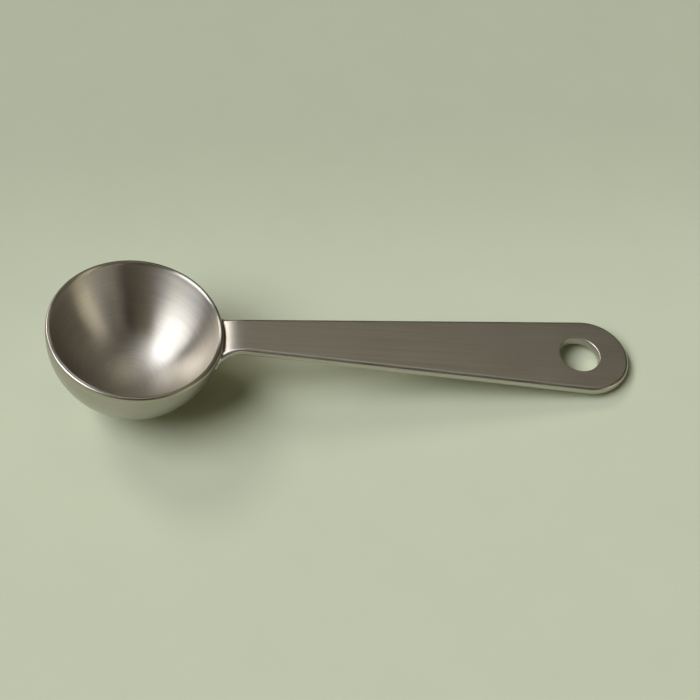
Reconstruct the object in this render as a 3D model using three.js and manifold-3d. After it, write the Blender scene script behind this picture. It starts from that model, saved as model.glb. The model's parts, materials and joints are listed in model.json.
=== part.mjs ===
// Measuring scoop of stainless steel: a deep-drawn round bowl, and a flat tapered handle whose root is
// bent down a little and welded to the bowl's wall. One run of weld goes round the root.
// Units are millimetres and +Z is up. The scoop lies on the plane z = 0, on its bowl and its handle's tip,
// with the handle along +X and the origin under the middle of its length.
// The pieces are made in the scoop's own frame: the bowl's axis is Z, its round's centre is the origin,
// and the handle runs along +X. The whole scoop is then tipped until the tip touches the plane.

import * as THREE from "three";
import { mergeVertices } from "three/addons/utils/BufferGeometryUtils.js";
import Module from "manifold-3d";

// Bowl: a hemisphere with a short straight lip, which together hold 15 ml.
const bowlInnerRadius = 18.7;
const bowlWall = 1.1;
const lipHeight = 1.2;
const lipEdgeRadius = 0.3;

// Handle: a strip that widens evenly from its neck to a round tip with a hole to hang it by.
const handleLength = 94.6;
const handleThickness = 2.2;
const handleBelowRim = 0.0;
const neckWidth = 8.5;
const tipWidth = 19.9;
const hangHoleDiameter = 9.4;
const hangHoleToTip = 11.7;

// Root: the last stretch of the strip is bent down, so that the rim stands free of it.
const rootBendRadius = 12.0;
const rootBendAngle = THREE.MathUtils.degToRad(27);

// Weld: a hollow fillet. Its legs lie on the bowl's wall, beside and under the root, and along the strip.
const weldLegBesideRoot = 2.1;
const weldLegUnderRoot = 0.8;
const weldLegOnHandle = 3.0;
const weldToeThickness = 0.25;

// Clearance that stands for the fused metal between two welded pieces.
const jointGap = 0.3;

// Fineness of the round shapes.
const bowlSegments = 60;
const bowlRings = 14;
const lipEdgeSteps = 3;
const curveSteps = 24;

// Places that follow from those sizes.
const rightAngle = Math.PI / 2;
const bowlOuterRadius = bowlInnerRadius + bowlWall;
const weldWall = bowlOuterRadius + jointGap;
const handleReach = bowlOuterRadius + handleLength;
const tipRadius = tipWidth / 2;
const tipCentre = handleReach - tipRadius;
const handleTop = lipHeight - handleBelowRim;
const handleUnderside = handleTop - handleThickness;
const bendStart = bowlOuterRadius + rootBendRadius * Math.sin(rootBendAngle);
const bendCentre = handleTop - rootBendRadius;
const bendEndAngle = rightAngle + rootBendAngle;

const wasm = await Module();
wasm.setup();

// A closed three.js geometry as a solid that can be joined and cut.
function solidFrom(geometry) {
  const bare = geometry.clone();
  bare.deleteAttribute("normal");
  bare.deleteAttribute("uv");
  const merged = mergeVertices(bare);
  return new wasm.Manifold(
    new wasm.Mesh({
      numProp: 3,
      vertProperties: new Float32Array(merged.attributes.position.array),
      triVerts: new Uint32Array(merged.index.array),
    }),
  );
}

// A solid back as a three.js geometry.
function geometryFrom(solid) {
  const { vertProperties, triVerts } = solid.getMesh();
  const geometry = new THREE.BufferGeometry();
  geometry.setAttribute("position", new THREE.BufferAttribute(vertProperties, 3));
  geometry.setIndex(new THREE.BufferAttribute(triVerts, 1));
  geometry.computeVertexNormals();
  return geometry;
}

// Points along an arc from one angle to another.
function arc(x, y, radius, from, to, steps) {
  return new THREE.EllipseCurve(x, y, radius, radius, from, to, to < from).getPoints(steps);
}

// A profile of radius and height, turned about the bowl's axis.
function turned(profile) {
  return new THREE.LatheGeometry(profile, bowlSegments).rotateX(rightAngle);
}

function extruded(outline, depth) {
  return new THREE.ExtrudeGeometry(outline, { depth, bevelEnabled: false, curveSegments: curveSteps });
}

// A plan outline of x and y made as tall as the bent root needs, from well below it to well above it.
function uprightSolid(outline) {
  const reach = rootBendRadius + handleThickness;
  return solidFrom(extruded(outline, 2 * reach).translate(0, 0, handleTop - reach));
}

// A side outline of x and z made wider than the handle, about the handle's middle line.
function sidewaysSolid(outline) {
  const width = 2 * Math.max(tipWidth, neckWidth);
  return solidFrom(extruded(outline, width).rotateX(rightAngle).translate(0, width / 2, 0));
}

// Bowl: outer wall, lip with rounded edges, and inner wall, turned as one closed profile.
function bowlGeometry() {
  const round = Math.min(lipEdgeRadius, bowlWall / 2);
  const lipArcCentre = lipHeight - round;
  return turned([
    ...arc(0, 0, bowlOuterRadius, -rightAngle, 0, bowlRings),
    ...arc(bowlOuterRadius - round, lipArcCentre, round, 0, rightAngle, lipEdgeSteps),
    ...arc(bowlInnerRadius + round, lipArcCentre, round, rightAngle, 2 * rightAngle, lipEdgeSteps),
    ...arc(0, 0, bowlInnerRadius, 0, -rightAngle, bowlRings),
  ]);
}

// The room that the bowl takes up, filled in, with the joint's gap round it.
function bowlRoom() {
  const top = Math.max(lipHeight, handleTop) + handleThickness;
  return solidFrom(
    turned([
      ...arc(0, 0, weldWall, -rightAngle, 0, bowlRings),
      new THREE.Vector2(weldWall, top),
      new THREE.Vector2(0, top),
    ]),
  );
}

// Half the angle at which the strip widens: its straight edges run tangent to the round tip.
function taperAngle(neckHalfWidth, endRadius) {
  const run = tipCentre - bowlOuterRadius;
  const toTip = Math.hypot(run, neckHalfWidth);
  return Math.asin(endRadius / toTip) - Math.atan2(neckHalfWidth, run);
}

// Plan outline of the strip, larger all round by a margin. It starts inside the bowl's wall.
function stripPlan(margin) {
  const neckHalfWidth = neckWidth / 2 + margin;
  const endRadius = tipRadius + margin;
  const taper = taperAngle(neckHalfWidth, endRadius);
  const rootHalfWidth = neckHalfWidth - bowlWall * Math.tan(taper);
  const outline = new THREE.Shape();
  outline.moveTo(bowlInnerRadius, rootHalfWidth);
  outline.lineTo(bowlInnerRadius, -rootHalfWidth);
  outline.absarc(tipCentre, 0, endRadius, -rightAngle - taper, rightAngle + taper, false);
  return outline;
}

// Side outline of the strip with its bent root, thicker by a margin above and below. The root runs on
// straight from the end of the bend until all of it is inside the bowl's wall.
function stripSide(margin) {
  const upper = rootBendRadius + margin;
  const lower = rootBendRadius - handleThickness - margin;
  const end = handleReach + margin;
  const intoWall = bowlWall + handleThickness;
  const rootPoint = (radius) =>
    new THREE.Vector2(
      bendStart + radius * Math.cos(bendEndAngle) - intoWall * Math.cos(rootBendAngle),
      bendCentre + radius * Math.sin(bendEndAngle) - intoWall * Math.sin(rootBendAngle),
    );
  const upperRoot = rootPoint(upper);
  const lowerRoot = rootPoint(lower);
  const outline = new THREE.Shape();
  outline.moveTo(end, handleUnderside - margin);
  outline.lineTo(end, handleTop + margin);
  outline.absarc(bendStart, bendCentre, upper, rightAngle, bendEndAngle, false);
  outline.lineTo(upperRoot.x, upperRoot.y);
  outline.lineTo(lowerRoot.x, lowerRoot.y);
  outline.absarc(bendStart, bendCentre, lower, bendEndAngle, rightAngle, true);
  return outline;
}

// Handle: the strip with its hole, and its root cut to lie along the bowl's wall.
function handleGeometry() {
  const hole = new THREE.Path();
  hole.absarc(handleReach - hangHoleToTip, 0, hangHoleDiameter / 2, 0, 2 * Math.PI, true);
  const plan = stripPlan(0);
  plan.holes.push(hole);
  const strip = uprightSolid(plan).intersect(sidewaysSolid(stripSide(0)));
  return geometryFrom(strip.subtract(bowlRoom()));
}

// Plan outline of the weld: hollow fillets that spread from the strip's two edges to the bowl.
function weldPlan() {
  const taper = taperAngle(neckWidth / 2, tipRadius);
  const edgeAt = (x) => neckWidth / 2 + jointGap + (x - bowlOuterRadius) * Math.tan(taper);
  const toe = weldWall + weldLegOnHandle;
  const toeEdge = edgeAt(toe) + weldToeThickness;
  const hollow = edgeAt(weldWall) + weldToeThickness;
  const spread = edgeAt(weldWall) + weldLegBesideRoot;
  const outline = new THREE.Shape();
  outline.moveTo(bowlInnerRadius - bowlWall, spread);
  outline.lineTo(bowlInnerRadius - bowlWall, -spread);
  outline.lineTo(bowlInnerRadius, -spread);
  outline.quadraticCurveTo(weldWall, -hollow, toe, -toeEdge);
  outline.lineTo(toe, toeEdge);
  outline.quadraticCurveTo(weldWall, hollow, bowlInnerRadius, spread);
  return outline;
}

// Side outline of the weld: level with the bent top of the strip, and a hollow fillet under its root.
function weldSide() {
  const lower = rootBendRadius - handleThickness - jointGap;
  const heightAt = (x, radius) => {
    const beforeBend = Math.max(bendStart - x, 0);
    return bendCentre + Math.sqrt(Math.max(radius ** 2 - beforeBend ** 2, 0));
  };
  const toe = Math.min(weldWall + weldLegOnHandle, bendStart);
  const toeAngle = Math.PI - Math.acos((bendStart - toe) / rootBendRadius);
  const toeHeight = heightAt(toe, lower) - weldToeThickness;
  const rootHeight = heightAt(weldWall, lower);
  const lowest = rootHeight - weldLegUnderRoot;
  const inside = bowlInnerRadius - bowlWall;
  const outline = new THREE.Shape();
  outline.moveTo(inside, heightAt(bowlOuterRadius, rootBendRadius));
  outline.lineTo(inside, lowest);
  outline.lineTo(bowlInnerRadius, lowest);
  outline.quadraticCurveTo(weldWall, rootHeight - weldToeThickness, toe, toeHeight);
  outline.absarc(bendStart, bendCentre, rootBendRadius, toeAngle, bendEndAngle, false);
  return outline;
}

// Weld bead: one run round the root, under it and up both sides, clear of the strip and the bowl.
function weldGeometry() {
  const fillet = uprightSolid(weldPlan()).intersect(sidewaysSolid(weldSide()));
  const stripRoom = uprightSolid(stripPlan(jointGap)).intersect(sidewaysSolid(stripSide(jointGap)));
  return geometryFrom(fillet.subtract(stripRoom).subtract(bowlRoom()));
}

// Satin stainless steel. The weld is dressed a little brighter than the brushed pieces.
function steel(name, color, roughness) {
  return new THREE.MeshStandardMaterial({ name, color, metalness: 1.0, roughness });
}

function piece(name, geometry, material) {
  const mesh = new THREE.Mesh(geometry, material);
  mesh.name = name;
  return mesh;
}

// How far the scoop tips until the lower edge of its tip reaches the plane that the bowl lies on.
function restTilt() {
  const tipDrop = Math.atan2(-handleUnderside, handleReach);
  return Math.asin(bowlOuterRadius / Math.hypot(handleReach, handleUnderside)) - tipDrop;
}

const scoop = new THREE.Group();
scoop.add(
  piece("bowl", bowlGeometry(), steel("satin_bowl", 0xa39c92, 0.34)),
  piece("handle", handleGeometry(), steel("brushed_handle", 0x9a9389, 0.38)),
  piece("weld_bead", weldGeometry(), steel("dressed_weld", 0xb0aaa1, 0.3)),
);
scoop.rotation.y = restTilt();

// The origin goes under the middle of the scoop's length.
const part = new THREE.Group();
part.add(scoop);
part.updateMatrixWorld(true);
const extent = new THREE.Box3().setFromObject(part, true);
const middle = extent.getCenter(new THREE.Vector3());
scoop.position.set(-middle.x, -middle.y, -extent.min.z);

export default part;
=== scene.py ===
"""Measuring scoop of satin stainless steel, lying on a pale table on its bowl and the tip of its handle."""

import json
import math

import bmesh
import bpy
from mathutils import Matrix, Vector


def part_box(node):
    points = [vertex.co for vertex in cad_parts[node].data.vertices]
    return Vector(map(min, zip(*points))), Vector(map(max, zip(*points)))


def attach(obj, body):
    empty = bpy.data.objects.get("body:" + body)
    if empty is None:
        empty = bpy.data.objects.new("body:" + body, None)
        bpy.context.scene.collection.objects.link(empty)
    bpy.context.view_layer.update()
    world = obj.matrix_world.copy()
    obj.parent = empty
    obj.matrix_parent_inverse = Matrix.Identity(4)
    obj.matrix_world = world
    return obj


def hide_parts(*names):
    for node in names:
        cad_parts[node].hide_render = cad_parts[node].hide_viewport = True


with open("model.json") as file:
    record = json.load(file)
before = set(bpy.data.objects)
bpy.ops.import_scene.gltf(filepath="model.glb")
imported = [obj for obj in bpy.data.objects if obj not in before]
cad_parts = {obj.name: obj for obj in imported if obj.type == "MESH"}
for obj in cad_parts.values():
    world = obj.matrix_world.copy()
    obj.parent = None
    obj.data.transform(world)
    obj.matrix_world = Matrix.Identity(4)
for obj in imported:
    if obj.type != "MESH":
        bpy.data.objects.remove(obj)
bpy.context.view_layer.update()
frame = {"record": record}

# Bowl: one deep-drawn cup of stainless steel sheet, a hemisphere with a short lip whose edges are rounded.
# It is brushed in circles round its own axis: bright inside, matt at the bottom there, and satin outside, its
# colour painted lighter inside as painted light and darker outside as painted shade.
# The handle is welded to its outside, a little below the lip.
MM = 0.001
HAIR = 0.001 * MM
bowl_low, bowl_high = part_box("bowl")
bowl_radius = (bowl_high.y - bowl_low.y) / 2
bowl_wall = 1.1 * MM
bowl_inner_radius = bowl_radius - bowl_wall
lip_height = 1.2 * MM
lip_edge_radius = 0.5 * MM
lip_edge_steps = 5
quarter_steps = 40
turn_steps = 144
sharp_corner = math.radians(60)

# Each pair of tones is the dark and the light of the brush lines. The angles are measured from the foot.
# The inside's tones are lighter than one steel's as painted light, and the outside's darker as painted shade.
outside_tones_painted_darker = ((0.36, 0.335, 0.295), (0.59, 0.555, 0.49))
inside_tones_painted_lighter = ((0.49, 0.455, 0.405), (0.76, 0.72, 0.65))
outside_roughness = 0.32
bottom_roughness = 0.48
wall_roughness = 0.39
bottom_end = math.radians(12)
wall_start = math.radians(50)
wall_streaking = 1.0
wall_streak_turn = 0.25
rings_per_radian = 34
ring_waver = 1.1
ring_depth = 0.003 * MM
bowl_smudges_per_metre = 110
brush_gloss = 0.16
smudge_gloss = 0.10

# The scoop is made level, with the middle of the bowl's hemisphere at the origin and its handle along +X.
# Each piece is then laid down as the scoop rests. The frame tells the tilt by the handle's upper face.
mounts = {mount["name"]: mount for mount in frame["record"]["mounts"]}
handle_up = Vector(mounts["handle_top"]["axis"])
rest_tilt = math.atan2(handle_up.x, handle_up.z)
bowl_middle = Vector((bowl_low.x + bowl_radius, 0, bowl_radius))
laid_down = Matrix.Translation(bowl_middle) @ Matrix.Rotation(rest_tilt, 4, "Y")


def drawn_on(mesh, vertex, place):
    """A new vertex at a place, joined to the last one by an edge."""
    new = bmesh.ops.extrude_vert_indiv(mesh, verts=[vertex])["verts"][0]
    new.co = place
    return new


def swung_on(mesh, vertex, centre, axis, angle, steps):
    """Draws an arc of edges from a vertex, and gives the arc's last vertex."""
    made = bmesh.ops.spin(mesh, geom=[vertex], cent=centre, axis=axis, angle=angle, steps=steps)
    return next(item for item in made["geom_last"] if isinstance(item, bmesh.types.BMVert))


def round_off(mesh, items, radius, steps, affect="EDGES"):
    """Rounds edges of a mesh to a radius, or its corners."""
    bmesh.ops.bevel(mesh, geom=items, offset=radius, affect=affect, segments=steps, profile=0.5, material=-1)


def placed(mesh, name, material):
    """An object in the scene, of a mesh and a material."""
    data = bpy.data.meshes.new(name)
    mesh.to_mesh(data)
    mesh.free()
    data.materials.append(material)
    made = bpy.data.objects.new(name, data)
    bpy.context.scene.collection.objects.link(made)
    return made


def finish_piece(mesh, name, node, material):
    """Lays a level mesh down as the scoop rests, as a smooth piece that stands for a CAD node."""
    bmesh.ops.transform(mesh, matrix=laid_down, verts=mesh.verts)
    for face in mesh.faces:
        face.smooth = True
    piece = placed(mesh, name, material)
    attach(piece, "root")
    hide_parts(node)


class Shade:
    """One socket of a material's nodes. Sums and products of sockets add Math nodes."""

    def __init__(self, tree, socket=None):
        self.tree = tree
        self.socket = socket

    def node(self, kind, settings, inputs, output=0):
        """A new node's output. Its settings are set first, and then the values or links of its sockets."""
        made = self.tree.nodes.new(kind)
        for name, value in settings.items():
            setattr(made, name, value)
        for name, value in inputs.items():
            self.feed(made.inputs[name], value)
        return Shade(self.tree, made.outputs[output])

    def feed(self, socket, value):
        """Links a socket to a shade, or sets it to a plain value."""
        if isinstance(value, Shade):
            self.tree.links.new(value.socket, socket)
        else:
            socket.default_value = value

    def math(self, operation, *values):
        return self.node("ShaderNodeMath", {"operation": operation}, dict(enumerate(values)))

    def __add__(self, other):
        return self.math("ADD", self, other)

    def __sub__(self, other):
        return self.math("SUBTRACT", self, other)

    def __rsub__(self, other):
        return self.math("SUBTRACT", other, self)

    def __mul__(self, other):
        return self.math("MULTIPLY", self, other)

    def __truediv__(self, other):
        return self.math("DIVIDE", self, other)

    def __rtruediv__(self, other):
        return self.math("DIVIDE", other, self)

    __radd__ = __add__
    __rmul__ = __mul__

    def axis(self, letter):
        """This vector's X, Y or Z."""
        return self.node("ShaderNodeSeparateXYZ", {}, {"Vector": self}, letter)

    def stretched(self, factors):
        """This vector with each axis times a factor of its own."""
        return self.node("ShaderNodeVectorMath", {"operation": "MULTIPLY"}, {0: self, 1: factors})

    def eased(self, low, high):
        """A smooth step from 0 to 1 while this value goes from low to high."""
        limits = {"Value": self, "From Min": low, "From Max": high}
        return self.node("ShaderNodeMapRange", {"interpolation_type": "SMOOTHSTEP"}, limits)

    def noise(self, scale, detail, roughness):
        """Cloudy noise over this vector, from 0 to 1."""
        inputs = {"Vector": self, "Scale": scale, "Detail": detail, "Roughness": roughness}
        return self.node("ShaderNodeTexNoise", {}, inputs)

    def mixed(self, low, high):
        """A colour between two, by this value.

        A Mix node has its colours at inputs 6 and 7, and the mixed colour at output 2.
        """
        low, high = (end if isinstance(end, Shade) else (*end, 1) for end in (low, high))
        return self.node("ShaderNodeMix", {"data_type": "RGBA"}, {"Factor": self, 6: low, 7: high}, 2)


def new_material(name):
    """A material, its shader and its Object coordinates."""
    material = bpy.data.materials.new(name)
    material.use_nodes = True
    shader = material.node_tree.nodes["Principled BSDF"]
    place = Shade(material.node_tree).node("ShaderNodeTexCoord", {}, {}, "Object")
    return material, shader, place


def new_steel(name):
    """A metal, its shader, and coordinates along, across and up the level scoop from the bowl's middle."""
    material, shader, place = new_material(name)
    shader.inputs["Metallic"].default_value = 1
    level = place.node(
        "ShaderNodeMapping",
        {"vector_type": "TEXTURE"},
        {"Vector": place, "Location": bowl_middle, "Rotation": (0, rest_tilt, 0)},
    )
    return material, shader, level


def brush(shaders, grain, smudge, colour, roughness, depth):
    """Gives shaders a colour, brush lines that change their gloss and height, and faint smudges."""
    gloss = roughness + (grain - 0.5) * brush_gloss + (smudge - 0.5) * smudge_gloss
    bump = grain.node("ShaderNodeBump", {}, {"Height": grain, "Distance": depth, "Strength": 1})
    for shader in shaders:
        grain.feed(shader.inputs["Base Color"], colour)
        grain.feed(shader.inputs["Roughness"], gloss)
        grain.feed(shader.inputs["Normal"], bump)


def bowl_steel():
    """Steel brushed in rings. Inside, light streaks up the wall, which turns into a matt bottom."""
    material, wall, level = new_steel("bowl_steel")
    along, across, up = (level.axis(letter) for letter in "XYZ")
    from_axis = level.math("SQRT", along * along + across * across)
    from_bottom = level.math("ARCTAN2", from_axis, 0 - up)
    from_middle = level.math("SQRT", from_axis * from_axis + up * up)
    is_inside = level.math("LESS_THAN", from_middle, bowl_radius - bowl_wall / 2)
    up_wall = from_bottom.eased(bottom_end, wall_start)
    rings = level.node(
        "ShaderNodeCombineXYZ",
        {},
        {
            "X": along / from_axis * ring_waver,
            "Y": across / from_axis * ring_waver,
            "Z": from_bottom * rings_per_radian,
        },
    )
    grain = rings.noise(scale=1, detail=6, roughness=0.7)
    smudge = level.noise(scale=bowl_smudges_per_metre, detail=3, roughness=0.5)
    # Painted light and shade: the inside takes the lighter tones and the outside the darker ones.
    colour = is_inside.mixed(grain.mixed(*outside_tones_painted_darker), grain.mixed(*inside_tones_painted_lighter))
    to_bottom = bottom_roughness - outside_roughness
    to_wall = wall_roughness - bottom_roughness
    roughness = outside_roughness + is_inside * (to_bottom + up_wall * to_wall)
    matt = level.node("ShaderNodeBsdfPrincipled", {}, {"Metallic": 1})
    brush((wall, matt.socket.node), grain, smudge, colour, roughness, ring_depth)
    wall.inputs["Anisotropic"].default_value = wall_streaking
    wall.inputs["Anisotropic Rotation"].default_value = wall_streak_turn
    streaked = Shade(level.tree, wall.outputs["BSDF"])
    both = level.node("ShaderNodeMixShader", {}, {0: up_wall * is_inside, 1: matt, 2: streaked})
    level.feed(level.tree.nodes["Material Output"].inputs["Surface"], both)
    return material


bowl = bmesh.new()
foot = bowl.verts.new((0, 0, -bowl_radius))
outer_top = swung_on(bowl, foot, (0, 0, 0), (0, 1, 0), -math.pi / 2, quarter_steps)
lip_outer = drawn_on(bowl, outer_top, (bowl_radius, 0, lip_height))
lip_inner = drawn_on(bowl, lip_outer, (bowl_inner_radius, 0, lip_height))
inner_top = drawn_on(bowl, lip_inner, (bowl_inner_radius, 0, 0))
swung_on(bowl, inner_top, (0, 0, 0), (0, 1, 0), math.pi / 2, quarter_steps)
bmesh.ops.spin(
    bowl,
    geom=bowl.verts[:] + bowl.edges[:],
    axis=(0, 0, 1),
    angle=2 * math.pi,
    steps=turn_steps,
    use_merge=True,
)
bmesh.ops.remove_doubles(bowl, verts=bowl.verts, dist=HAIR)
bmesh.ops.recalc_face_normals(bowl, faces=bowl.faces)
lip_edges = [edge for edge in bowl.edges if all(abs(v.co.z - lip_height) < HAIR for v in edge.verts)]
lip_rings = [edge for edge in lip_edges if edge.calc_face_angle(0) > sharp_corner]
round_off(bowl, lip_rings, lip_edge_radius, lip_edge_steps)
finish_piece(bowl, "scoop_bowl", "bowl", bowl_steel())

# Handle: a strip cut from thicker stainless steel sheet, widening evenly to a round tip, with a punched hole
# to hang it by. Its edges are rounded, its faces are brushed lengthwise, and its root is bent down and welded
# to the bowl's wall below the lip.
handle_length = 94.6 * MM
handle_thickness = 2.2 * MM
neck_width = 8.5 * MM
tip_radius = 9.95 * MM
tip_steps = 72
hole_radius = 4.7 * MM
hole_to_tip = 11.7 * MM
hole_steps = 72
hole_surround = 1.1 * hole_radius
handle_edge_radius = 0.75 * MM
hole_edge_radius = 0.25 * MM
handle_edge_steps = 6
face_margin = 0.05 * MM
flat_normal = 0.999
bend_radius = 12.0 * MM
bend_angle = math.radians(27)
bend_steps = 18
root_spare = 3 * MM
root_in_wall = 0.7 * MM

handle_tones = ((0.43, 0.40, 0.35), (0.67, 0.635, 0.58))
handle_roughness = 0.40
handle_lines_per_metre = (24, 1700, 1700)
handle_line_depth = 0.004 * MM
handle_smudges_per_metre = 90

handle_top = lip_height
handle_middle = handle_top - handle_thickness / 2
handle_reach = bowl_radius + handle_length
hole_middle = handle_reach - hole_to_tip
tip_middle = handle_reach - tip_radius
neck_run = tip_middle - bowl_radius
neck_corner_to_tip = math.hypot(neck_run, neck_width / 2)
taper = math.asin(tip_radius / neck_corner_to_tip) - math.atan2(neck_width / 2, neck_run)
bend_start = bowl_radius + bend_radius * math.sin(bend_angle)
bend_run = (bend_radius - handle_thickness / 2) * bend_angle
root_end = bend_start - bend_run - root_spare


def half_width_at(x):
    """Half the strip's width at a distance from the bowl's axis."""
    return neck_width / 2 + (x - bowl_radius) * math.tan(taper)


def cut_across(mesh, x, clear_inner=False):
    """Cuts a mesh across at a distance from the bowl's axis, and gives what lies in the cut."""
    everything = mesh.verts[:] + mesh.edges[:] + mesh.faces[:]
    cut = bmesh.ops.bisect_plane(
        mesh, geom=everything, plane_co=(x, 0, 0), plane_no=(1, 0, 0), clear_inner=clear_inner
    )
    return cut["geom_cut"]


def bend_root(mesh):
    """Bends the root of a level mesh: cuts it across in even steps and turns what lies beyond each cut."""
    stations = [bend_start - bend_run * (step + 0.5) / bend_steps for step in range(bend_steps)]
    for station in stations:
        cut_across(mesh, station)
    beyond = {station: [v for v in mesh.verts if v.co.x < station + HAIR] for station in stations}
    for station in reversed(stations):
        bmesh.ops.rotate(
            mesh,
            cent=(station, 0, handle_middle),
            matrix=Matrix.Rotation(-bend_angle / bend_steps, 3, "Y"),
            verts=beyond[station],
        )


def around_hole(edge):
    """Whether an edge of the handle belongs to its hole."""
    middle = (edge.verts[0].co + edge.verts[1].co) / 2
    return math.hypot(middle.x - hole_middle, middle.y) < hole_surround


def handle_steel():
    """Steel brushed lengthwise."""
    material, shader, level = new_steel("handle_steel")
    grain = level.stretched(handle_lines_per_metre).noise(scale=1, detail=6, roughness=0.7)
    smudge = level.noise(scale=handle_smudges_per_metre, detail=3, roughness=0.5)
    colour = grain.mixed(*handle_tones)
    brush((shader,), grain, smudge, colour, handle_roughness, handle_line_depth)
    return material


handle = bmesh.new()
tip_centre = Vector((tip_middle, 0, handle_top))
tip_start = tip_centre + tip_radius * Vector((-math.sin(taper), -math.cos(taper), 0))
near_tip = handle.verts.new(tip_start)
far_tip = swung_on(handle, near_tip, tip_centre, (0, 0, 1), math.pi + 2 * taper, tip_steps)
near_root = drawn_on(handle, near_tip, (root_end, -half_width_at(root_end), handle_top))
far_root = drawn_on(handle, far_tip, (root_end, half_width_at(root_end), handle_top))
handle.edges.new((near_root, far_root))
hole_place = Matrix.Translation((hole_middle, 0, handle_top))
bmesh.ops.create_circle(handle, segments=hole_steps, radius=hole_radius, matrix=hole_place)
bmesh.ops.triangle_fill(handle, edges=handle.edges, use_beauty=True)
strip = bmesh.ops.extrude_face_region(handle, geom=handle.faces[:])
lowered = [item for item in strip["geom"] if isinstance(item, bmesh.types.BMVert)]
bmesh.ops.translate(handle, vec=(0, 0, -handle_thickness), verts=lowered)
bmesh.ops.recalc_face_normals(handle, faces=handle.faces)

sharp_edges = [edge for edge in handle.edges if edge.calc_face_angle(0) > sharp_corner]
outer_edges = [edge for edge in sharp_edges if not around_hole(edge)]
hole_edges = [edge for edge in sharp_edges if around_hole(edge)]
round_off(handle, outer_edges, handle_edge_radius, handle_edge_steps)
round_off(handle, hole_edges, hole_edge_radius, handle_edge_steps)
flat_faces = [face for face in handle.faces if abs(face.normal.z) > flat_normal]
bmesh.ops.inset_region(handle, faces=flat_faces, thickness=face_margin, use_even_offset=True)

bend_root(handle)
root_cut = cut_across(handle, bowl_radius - root_in_wall, clear_inner=True)
root_loop = [item for item in root_cut if isinstance(item, bmesh.types.BMEdge)]
bmesh.ops.triangle_fill(handle, edges=root_loop, use_beauty=True)
bmesh.ops.recalc_face_normals(handle, faces=handle.faces)
finish_piece(handle, "scoop_handle", "handle", handle_steel())

# Weld: one run of stainless steel bead round the handle's root, ground and polished into a hollow fillet.
# It spreads from the strip's edges and underside to the bowl's wall, with only a trace of it on top.
weld_beside_root = 3.2 * MM
weld_under_root = 1.3 * MM
weld_above_root = 0.12 * MM
weld_on_edges = 4.8 * MM
weld_on_top = 0.12 * MM
weld_into_wall = 0.55 * MM
weld_under_skin = 0.004 * MM
weld_narrows_up = 2.4
weld_narrows_down = 1.4
weld_steps = 24
weld_crowding = 1.5
section_rows = 2
section_columns = 14

weld_tones = ((0.53, 0.50, 0.46), (0.63, 0.595, 0.55))
weld_roughness = 0.40
weld_lines_per_metre = (300, 3000, 1500)
weld_line_depth = 0.002 * MM
weld_smudges_per_metre = 500

root_wall = bend_start - bend_run - handle_thickness / 2 * math.tan(bend_angle)
weld_start = root_wall - weld_into_wall
weld_run = weld_into_wall + weld_on_edges


def weld_steel():
    """Steel ground and polished, with finer and fainter lines than the handle's."""
    material, shader, level = new_steel("weld_steel")
    grain = level.stretched(weld_lines_per_metre).noise(scale=1, detail=4, roughness=0.6)
    smudge = level.noise(scale=weld_smudges_per_metre, detail=3, roughness=0.5)
    colour = grain.mixed(*weld_tones)
    brush((shader,), grain, smudge, colour, weld_roughness, weld_line_depth)
    return material


def add_weld_section(mesh, x):
    """Adds a face across the unbent root, a hair inside the strip, with round corners."""
    half_height = handle_thickness / 2 - weld_under_skin
    half_width = half_width_at(x) - weld_under_skin
    place = (
        Matrix.Translation((x, 0, handle_middle))
        @ Matrix.Rotation(math.pi / 2, 4, "Y")
        @ Matrix.Diagonal((half_height, half_width, 1, 1))
    )
    made = bmesh.ops.create_grid(
        mesh, x_segments=section_rows, y_segments=section_columns, size=1, matrix=place
    )
    corners = [vert for vert in made["verts"] if len(vert.link_faces) == 1]
    cells = dict.fromkeys(face for vert in made["verts"] for face in vert.link_faces)
    bmesh.ops.dissolve_faces(mesh, faces=list(cells))
    round_off(mesh, corners, handle_edge_radius, handle_edge_steps, affect="VERTICES")


def nearness(x, reach):
    """1 at the bowl's wall and beyond it, and 0 a reach away from it along the unbent root."""
    return min(max(1 - (x - root_wall) / reach, 0), 1)


def hollow_fillet(x, reach):
    """The height of a hollow quarter round along the unbent root, as a share of its height at the wall."""
    return 1 - math.sqrt(1 - nearness(x, reach) ** 2)


def spread_out(place):
    """Moves a place on the unbent root's skin out to the weld's skin, more the nearer it is to the wall."""
    height = (place.z - handle_middle) / handle_thickness
    side = place.y / half_width_at(place.x)
    on_edges = hollow_fillet(place.x, weld_on_edges)
    narrows = weld_narrows_up if height > 0 else weld_narrows_down
    place.y += side * weld_beside_root * on_edges * (1 - narrows * height**2)
    if height > 0:
        place.z += 2 * height * weld_above_root * hollow_fillet(place.x, weld_on_top)
    else:
        place.z += 2 * height * weld_under_root * on_edges
    lean = (place.z - handle_middle) * math.tan(bend_angle)
    round_bowl = bowl_radius - math.sqrt(bowl_radius**2 - place.y**2)
    place.x += (lean - round_bowl) * nearness(place.x, weld_on_edges)


weld = bmesh.new()
for step in range(weld_steps + 1):
    add_weld_section(weld, weld_start + weld_run * (step / weld_steps) ** weld_crowding)
sections = sorted(weld.faces, key=lambda face: face.calc_center_median().x)
for near, far in zip(sections, sections[1:]):
    bmesh.ops.bridge_loops(weld, edges=near.edges[:] + far.edges[:])
bmesh.ops.delete(weld, geom=sections[1:-1], context="FACES_ONLY")
ends = [sections[0], sections[-1]]
for edge in ends[0].edges[:] + ends[1].edges[:]:
    edge.smooth = False
bmesh.ops.triangulate(weld, faces=ends, ngon_method="BEAUTY")
for vert in weld.verts:
    spread_out(vert.co)
bend_root(weld)
bmesh.ops.recalc_face_normals(weld, faces=weld.faces)
finish_piece(weld, "scoop_weld", "weld_bead", weld_steel())

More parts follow.
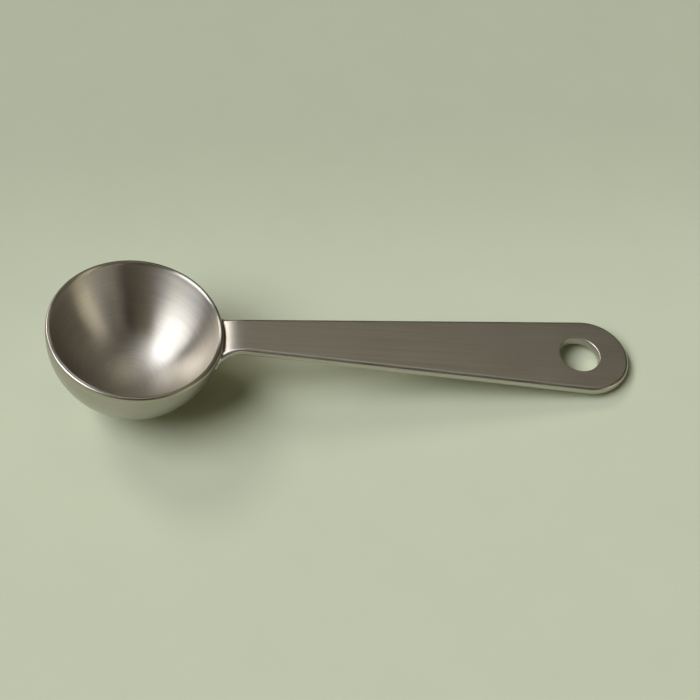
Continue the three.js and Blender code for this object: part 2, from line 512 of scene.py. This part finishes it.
# Table: a plain tabletop painted pale sage, with a faint mottle, that the scoop lies on.
# It is far wider than the picture, and its colour is painted a little darker towards the back, as painted
# shade where the light falls off.
table_radius = 6.0
table_sides = 64
table_tones = ((0.575, 0.61, 0.45), (0.605, 0.645, 0.48))
table_roughness = 0.75
mottles_per_metre = 60
painted_back_shade = 0.18
painted_back_shade_start = 10 * MM
painted_back_shade_end = 85 * MM

table_material, table_shader, table_place = new_material("sage_paint")
mottled = table_place.noise(scale=mottles_per_metre, detail=5, roughness=0.6).mixed(*table_tones)
# Painted shade: the tabletop's colour darkens towards the back, where less light falls.
towards_back = table_place.axis("Y").eased(painted_back_shade_start, painted_back_shade_end)
with_painted_shade = mottled.node(
    "ShaderNodeVectorMath", {"operation": "SCALE"}, {0: mottled, "Scale": 1 - towards_back * painted_back_shade}
)
with_painted_shade.feed(table_shader.inputs["Base Color"], with_painted_shade)
table_shader.inputs["Roughness"].default_value = table_roughness

table_mesh = bmesh.new()
bmesh.ops.create_circle(table_mesh, cap_ends=True, segments=table_sides, radius=table_radius)
table = placed(table_mesh, "table", table_material)

# Light: a wide soft window high at the left, a lower one beside it and a small bright one behind the bowl.
# A glow from the front, a pale card low at the right and a ceiling fill the shadows of a dim, warm room.
room_colour = (1.0, 0.92, 0.60)
room_strength = 0.005
world = bpy.data.worlds.new("dim_room")
world.use_nodes = True
room = world.node_tree.nodes["Background"]
room.inputs["Color"].default_value = (*room_colour, 1)
room.inputs["Strength"].default_value = room_strength
bpy.context.scene.world = world


def towards(azimuth, elevation):
    """The direction of a place in the sky. Azimuth 0 is the scoop's front and 90 its handle's end."""
    turn = math.radians(azimuth)
    lift = math.radians(elevation)
    return Vector((math.sin(turn) * math.cos(lift), -math.cos(turn) * math.cos(lift), math.sin(lift)))


def far_lamp(name, azimuth, elevation, width, radiance, colour):
    """A distant round lamp, as wide as an angle in the sky."""
    data = bpy.data.lights.new(name, "SUN")
    data.angle = math.radians(width)
    data.energy = radiance * math.pi * math.sin(data.angle / 2) ** 2
    data.color = colour
    lamp = bpy.data.objects.new(name, data)
    lamp.rotation_euler = towards(azimuth, elevation).to_track_quat("Z", "Y").to_euler()
    bpy.context.scene.collection.objects.link(lamp)


far_lamp("window", azimuth=-78, elevation=52, width=44, radiance=5.90, colour=(0.92, 0.95, 1.0))
far_lamp("low_window", azimuth=-54, elevation=32, width=20, radiance=1.30, colour=(1.0, 0.94, 0.62))
far_lamp("back_window", azimuth=-139, elevation=41, width=19, radiance=8.40, colour=(1.0, 0.95, 0.88))
far_lamp("front_glow", azimuth=-22, elevation=58, width=32, radiance=0.30, colour=(1.0, 0.92, 0.55))
far_lamp("right_card", azimuth=63, elevation=16, width=24, radiance=2.15, colour=(1.0, 0.94, 0.64))
far_lamp("ceiling", azimuth=142, elevation=65, width=30, radiance=0.76, colour=(1.0, 0.92, 0.70))

# Camera: about 40 cm from the scoop, looking down on it at the photograph's angle.
# Its place and focal length were fitted to the outlines of the bowl, the handle and the hole.
camera_azimuth = -2.99
camera_elevation = 52.77
camera_distance = 396 * MM
camera_clip_start = 10 * MM
aim_along = 48.0 * MM
aim_up = -4.25 * MM
focal_pixels = 1775.3
frame_pixels = 700

camera_data = bpy.data.cameras.new("camera")
camera_data.lens = focal_pixels / frame_pixels * camera_data.sensor_width
camera_data.clip_start = camera_clip_start
camera = bpy.data.objects.new("camera", camera_data)
back = towards(camera_azimuth, camera_elevation)
right = towards(camera_azimuth + 90, 0)
camera.location = bowl_middle + right * aim_along + back.cross(right) * aim_up + back * camera_distance
camera.rotation_euler = (-back).to_track_quat("-Z", "Y").to_euler()
bpy.context.scene.collection.objects.link(camera)
bpy.context.scene.camera = camera
bpy.context.scene.view_settings.view_transform = "Standard"
